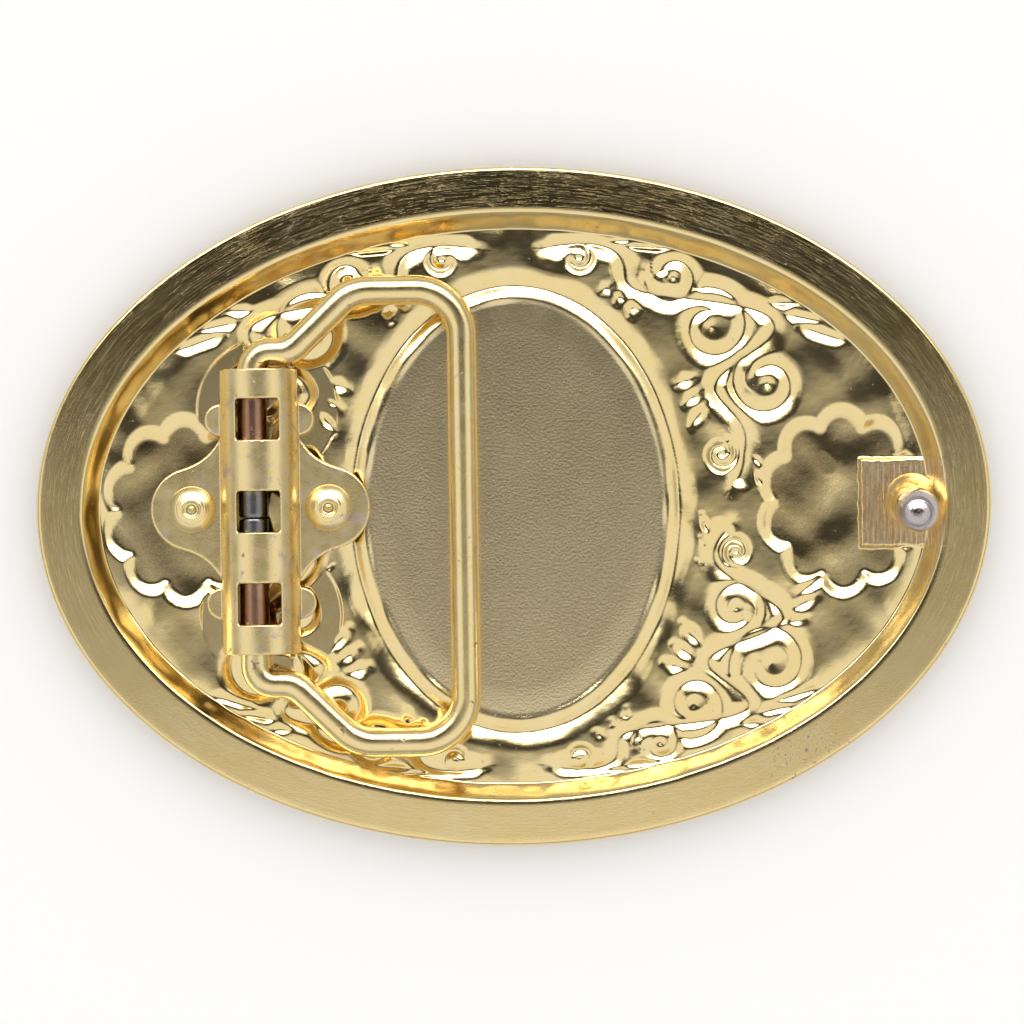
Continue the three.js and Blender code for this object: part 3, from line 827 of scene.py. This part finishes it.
class Look:
    """A node material, with short calls for the nodes it uses."""

    def __init__(self, name):
        self.material = bpy.data.materials.new(name)
        self.material.use_nodes = True
        self.nodes = self.material.node_tree.nodes
        self.links = self.material.node_tree.links
        self.shader = self.nodes["Principled BSDF"]

    def node(self, kind, inputs=None, **settings):
        made = self.nodes.new(kind)
        for key, value in settings.items():
            setattr(made, key, value)
        for key, value in (inputs or {}).items():
            if isinstance(value, bpy.types.NodeSocket):
                self.links.new(value, made.inputs[key])
            else:
                made.inputs[key].default_value = value
        return made

    def position(self):
        return self.node("ShaderNodeNewGeometry").outputs["Position"]

    def attribute(self, name):
        return self.node("ShaderNodeAttribute", attribute_name=name).outputs["Fac"]

    def math(self, operation, a, b=0.0):
        return self.node("ShaderNodeMath", {0: a, 1: b}, operation=operation).outputs[0]

    def scaled(self, vector, scale):
        return self.node("ShaderNodeVectorMath", {0: vector, 1: scale}, operation="MULTIPLY").outputs[0]

    def noise(self, vector, scale, detail=4.0, roughness=0.55, distortion=0.0):
        inputs = {"Vector": vector, "Scale": scale, "Detail": detail, "Roughness": roughness,
                  "Distortion": distortion}
        return self.node("ShaderNodeTexNoise", inputs).outputs["Fac"]

    def step(self, value, low, high, to_low=0.0, to_high=1.0):
        inputs = {"Value": value, "From Min": low, "From Max": high, "To Min": to_low, "To Max": to_high}
        return self.node("ShaderNodeMapRange", inputs, interpolation_type="SMOOTHSTEP").outputs["Result"]

    def mix(self, share, a, b):
        made = self.node("ShaderNodeMix", data_type="RGBA")
        for key, value in ((0, share), (6, a), (7, b)):
            if isinstance(value, bpy.types.NodeSocket):
                self.links.new(value, made.inputs[key])
            else:
                made.inputs[key].default_value = value if key == 0 else (*value, 1)
        return made.outputs[2]

    def distance(self, place, spot):
        return self.node("ShaderNodeVectorMath", {0: place, 1: spot}, operation="DISTANCE").outputs["Value"]

    def finish(self, colour, roughness, height=None, distance=0.00002, metallic=1.0):
        for key, value in (("Base Color", colour), ("Roughness", roughness), ("Metallic", metallic)):
            if isinstance(value, bpy.types.NodeSocket):
                self.links.new(value, self.shader.inputs[key])
            else:
                self.shader.inputs[key].default_value = value
        if height is not None:
            bump = self.node("ShaderNodeBump", {"Height": height, "Distance": distance, "Strength": 1.0})
            self.links.new(bump.outputs[0], self.shader.inputs["Normal"])
        return self.material


GOLD = (0.82, 0.64, 0.30)
GOLD_DEEP = (0.78, 0.55, 0.24)
GOLD_PALE = (0.83, 0.68, 0.37)
FIELD_GOLD = (0.72, 0.60, 0.37)
TARNISH = (0.20, 0.12, 0.12)
PURPLE = (0.26, 0.18, 0.24)
BARE_STEEL = (0.55, 0.52, 0.52)
# dark brown painted into the deepest creases as their shade
CREASE_SHADE = (0.30, 0.18, 0.09)
TOOLED_DEEP, TOOLED_HIGH = (0.62, 0.36, 0.18), (0.84, 0.68, 0.44)
ARCH_WORN, RIVET_WORN, WIRE_WORN = (0.46, 0.38, 0.42), (0.60, 0.50, 0.46), (0.55, 0.48, 0.44)
WIRE_ARCH_SHADE, WIRE_MIDDLE = (0.36, 0.20, 0.13), (0.20, 0.19, 0.19)  # painted shade on the wire inside the arch, and the wire's colour at its middle
STUD_BARE = (0.50, 0.45, 0.44)
RUST_SPOT = (0.029, -0.026, 0.004)  # metres, on the band
BLOOM_SPOT = (-0.0024, -0.007, 0.0024)  # metres, on the field


def hairlines(look, vector, scale, width):
    """A mask of thin lines, where noise crosses its middle value."""
    value = look.noise(vector, scale, 2.0, 0.5)
    return look.step(look.math("ABSOLUTE", look.math("SUBTRACT", value, 0.5)), width, 0.0)


def specks(look, place, scale, amount, seed):
    """Irregular spots; a higher amount, a number or a mask, gives more of them."""
    shifted = look.node("ShaderNodeVectorMath", {0: place, 1: (seed, seed * 0.7, seed * 1.3)}).outputs[0]
    blotch = look.noise(shifted, scale, 5.0, 0.6, 0.4)
    return look.step(look.math("ADD", blotch, look.math("MULTIPLY", amount, 0.2)), 0.66, 0.72)


def plate_look():
    look = Look("plate_gold")
    place = look.position()
    field, band, milled = (look.attribute(k) for k in ("field", "band", "milled"))
    crease = look.attribute("crease")
    ring, turn_x, turn_y = (look.attribute(k) for k in ("ring", "turn_x", "turn_y"))
    around = look.node("ShaderNodeCombineXYZ", {
        0: look.math("MULTIPLY", turn_x, 7.0),
        1: look.math("MULTIPLY", turn_y, 7.0),
        2: look.math("MULTIPLY", ring, 13.0)}).outputs[0]
    brushed = look.noise(around, 1.4, 4.0, 0.6)
    lines = hairlines(look, around, 0.8, 0.010)
    grain = look.noise(place, 5200.0, 3.0, 0.7)
    mottle = look.noise(place, 260.0, 4.0, 0.6)
    field_grain = look.noise(place, 3800.0, 2.0, 0.6)
    mill_lines = look.noise(look.scaled(place, (5200.0, 500.0, 1.0)), 1.0, 3.0, 0.6)
    colour = look.mix(look.step(mottle, 0.3, 0.8), GOLD, GOLD_PALE)
    # Painted shade: the deepest creases are darkened towards dark brown, broken up by the grain.
    crease_shade = look.math("MULTIPLY", crease, look.step(grain, 0.35, 0.65, 0.25, 0.8))
    colour = look.mix(crease_shade, colour, CREASE_SHADE)
    colour = look.mix(look.math("MULTIPLY", field, 0.8), colour, FIELD_GOLD)
    colour = look.mix(look.math("MULTIPLY", band, look.step(brushed, 0.4, 0.7, 0.0, 0.5)), colour, GOLD_DEEP)
    tooled = look.mix(look.step(mill_lines, 0.35, 0.65), TOOLED_DEEP, TOOLED_HIGH)
    colour = look.mix(look.math("MULTIPLY", milled, 0.6), colour, tooled)
    spots = specks(look, place, 1500.0, -0.1, 1.0)
    corner = look.step(look.distance(place, RUST_SPOT), 0.011, 0.002)
    rust = specks(look, place, 2400.0, look.math("SUBTRACT", look.math("MULTIPLY", corner, 0.8), 0.45), 5.0)
    patch = look.step(look.distance(place, BLOOM_SPOT), 0.011, 0.003)
    bloom = specks(look, place, 1900.0, look.math("SUBTRACT", look.math("MULTIPLY", patch, 0.55), 0.5), 9.0)
    spots = look.math("MAXIMUM", spots, look.math("MAXIMUM", rust, look.math("MULTIPLY", bloom, 0.5)))
    colour = look.mix(look.math("MULTIPLY", spots, 0.7), colour, PURPLE)
    rough = look.step(mottle, 0.3, 0.75, 0.135, 0.165)
    rough = look.math("ADD", rough, look.math("MULTIPLY", field, 0.10))
    rough = look.math("ADD", rough, look.math("MULTIPLY", band, look.step(brushed, 0.35, 0.7, -0.05, -0.01)))
    rough = look.math("ADD", rough, look.math("MULTIPLY", milled, 0.12))
    rough = look.math("ADD", rough, look.math("MULTIPLY", spots, 0.3))
    height = look.math("MULTIPLY", grain, 0.42)
    height = look.math("ADD", height, look.math("MULTIPLY", field, look.math("MULTIPLY", field_grain, 1.3)))
    height = look.math("ADD", height, look.math("MULTIPLY", band, look.math("MULTIPLY", brushed, 0.03)))
    height = look.math("SUBTRACT", height, look.math("MULTIPLY", band, look.math("MULTIPLY", lines, 0.12)))
    height = look.math("ADD", height, look.math("MULTIPLY", milled, look.math("MULTIPLY", mill_lines, 1.6)))
    return look.finish(colour, rough, height, 0.00002)


def hardware_look(name, gold, worn, wear, rough_low, rough_high, speck=0.0, bared_and_shaded=None, bared_middle=None):
    """Plated hardware; where its bare attribute is 1 it takes the bared colour, worn metal on the stud and
    painted shade on the wire in the arch, or `bared_middle` near y = 0.
    """
    look = Look(name)
    place = look.position()
    mottle = look.noise(place, 420.0, 5.0, 0.6)
    grain = look.noise(place, 4200.0, 3.0, 0.7)
    rub = look.step(look.noise(place, 330.0, 6.0, 0.7, 0.3), 0.62 - wear * 0.2, 0.74 - wear * 0.2)
    colour = look.mix(look.step(mottle, 0.3, 0.7), gold, GOLD_PALE)
    colour = look.mix(look.math("MULTIPLY", rub, min(1.0, 0.4 + wear)), colour, worn)
    # Worn bare metal on the stud; painted shade on the wire inside the bracket's arch.
    if bared_and_shaded:
        share = look.math("MULTIPLY", look.attribute("bare_and_shade"), look.step(mottle, 0.25, 0.5, 0.7, 1.0))
        if bared_middle:
            across = look.node("ShaderNodeSeparateXYZ", {0: place}).outputs["Y"]
            middle = look.step(look.math("ABSOLUTE", across), 0.0045, 0.0035)
            bared_and_shaded = look.mix(middle, bared_and_shaded, bared_middle)
        colour = look.mix(share, colour, bared_and_shaded)
    pits = specks(look, place, 900.0, speck, 3.0)
    colour = look.mix(look.math("MULTIPLY", pits, 0.75), colour, TARNISH)
    rough = look.step(mottle, 0.3, 0.7, rough_low, rough_high)
    rough = look.math("ADD", rough, look.math("MULTIPLY", look.math("MAXIMUM", rub, pits), 0.12))
    height = look.math("ADD", look.math("MULTIPLY", grain, 0.8), look.math("MULTIPLY", pits, -0.8))
    return look.finish(colour, rough, height, 0.000015)


def floor_look():
    look = Look("studio_floor")
    return look.finish((0.97, 0.97, 0.97, 1), 0.7, metallic=0.0)


# ---- Stage ----------------------------------------------------------------------------------------------

CAMERA_HEIGHT = 0.45  # above the rim
VIEW_ROLL = math.radians(0.84)
FRAME_WIDTH = 0.1024  # what the picture spans at the rim's height
VIEW_MIDDLE = (-0.0002, -0.0006)


def make_camera():
    data = bpy.data.cameras.new("camera")
    data.sensor_fit = "HORIZONTAL"
    data.angle = 2 * math.atan(FRAME_WIDTH / 2 / CAMERA_HEIGHT)
    data.clip_start, data.clip_end = 0.01, 20
    camera = bpy.data.objects.new("camera", data)
    camera.location = (*VIEW_MIDDLE, RIM_BACK * MM + CAMERA_HEIGHT)
    camera.rotation_euler = (0, 0, -VIEW_ROLL)
    bpy.context.scene.collection.objects.link(camera)
    bpy.context.scene.camera = camera


CARD_HEIGHT = 0.60
# Flat cards over the buckle that only its reflections see: (name, light, x half width, low y, high y).
CARDS = [
    ("card_low", 0.78, 0.24, -0.15, -0.10),
    ("card_mid_low", 0.44, 0.24, -0.10, -0.03),
    ("card_mid", 0.33, 0.24, -0.03, 0.03),
    ("card_high", 0.16, 0.24, 0.03, 0.075),
    ("black_flag", 0.03, 0.40, 0.075, 0.31),
    ("softbox_edge", 1.3, 0.60, 0.31, 0.38),
    ("softbox", 6.0, 0.60, 0.38, 1.00),
]


def make_card(name, light, half_width, low, high, height=CARD_HEIGHT):
    corners = [(x * half_width, y, height) for x, y in ((-1, low), (1, low), (1, high), (-1, high))]
    mesh = bpy.data.meshes.new(name)
    mesh.from_pydata(corners, [], [(0, 1, 2, 3)])
    material = bpy.data.materials.new(name)
    material.use_nodes = True
    tree = material.node_tree
    tree.nodes.clear()
    glow = tree.nodes.new("ShaderNodeEmission")
    glow.inputs["Strength"].default_value = light
    output = tree.nodes.new("ShaderNodeOutputMaterial")
    tree.links.new(glow.outputs[0], output.inputs["Surface"])
    mesh.materials.append(material)
    card = bpy.data.objects.new(name, mesh)
    card.visible_camera = card.visible_diffuse = card.visible_shadow = False
    bpy.context.scene.collection.objects.link(card)
    return card


SURROUND = (0.45, 1.5, 0.75)  # light, distance and height of the four grey screens round the table
WORLD_COLOUR, WORLD_LIGHT = (1.0, 0.995, 0.985), 1.02


def make_screen(turn):
    light, distance, height = SURROUND
    name = f"screen_{turn}"
    screen = make_card(name, light, distance, 0, height, 0)
    screen.rotation_euler = (math.pi / 2, 0, math.radians(turn))
    screen.location = (distance * math.sin(math.radians(turn)), -distance * math.cos(math.radians(turn)), 0)


def make_stage():
    bpy.ops.mesh.primitive_plane_add(size=6, location=(0, 0, 0))
    floor = bpy.context.object
    floor.name = "studio_floor"
    floor.data.materials.append(floor_look())
    for card in CARDS:
        make_card(*card)
    for turn in (0, 90, 180, 270):
        make_screen(turn)
    world = bpy.data.worlds.new("studio")
    world.use_nodes = True
    background = world.node_tree.nodes["Background"]
    background.inputs["Color"].default_value = (*WORLD_COLOUR, 1)
    background.inputs["Strength"].default_value = WORLD_LIGHT
    bpy.context.scene.world = world
    bpy.context.scene.view_settings.view_transform = "Standard"


# ---- Assembly -------------------------------------------------------------------------------------------

make_camera()
make_stage()
make_plate(plate_look())
make_bracket(hardware_look("bracket_gold", GOLD, ARCH_WORN, 0.35, 0.24, 0.34))
rivet_gold = hardware_look("rivet_gold", GOLD, RIVET_WORN, 0.10, 0.19, 0.26)
for rivet_name in RIVET_BOXES:
    make_rivet(rivet_name, rivet_gold)
# The wire's dark brown inside the arch is painted shade.
make_bail(hardware_look("wire_gold", GOLD, WIRE_WORN, 0.15, 0.18, 0.27, 0.12, WIRE_ARCH_SHADE, WIRE_MIDDLE))
make_stud(hardware_look("stud_worn", GOLD_DEEP, BARE_STEEL, 0.3, 0.14, 0.22, 0.0, STUD_BARE))
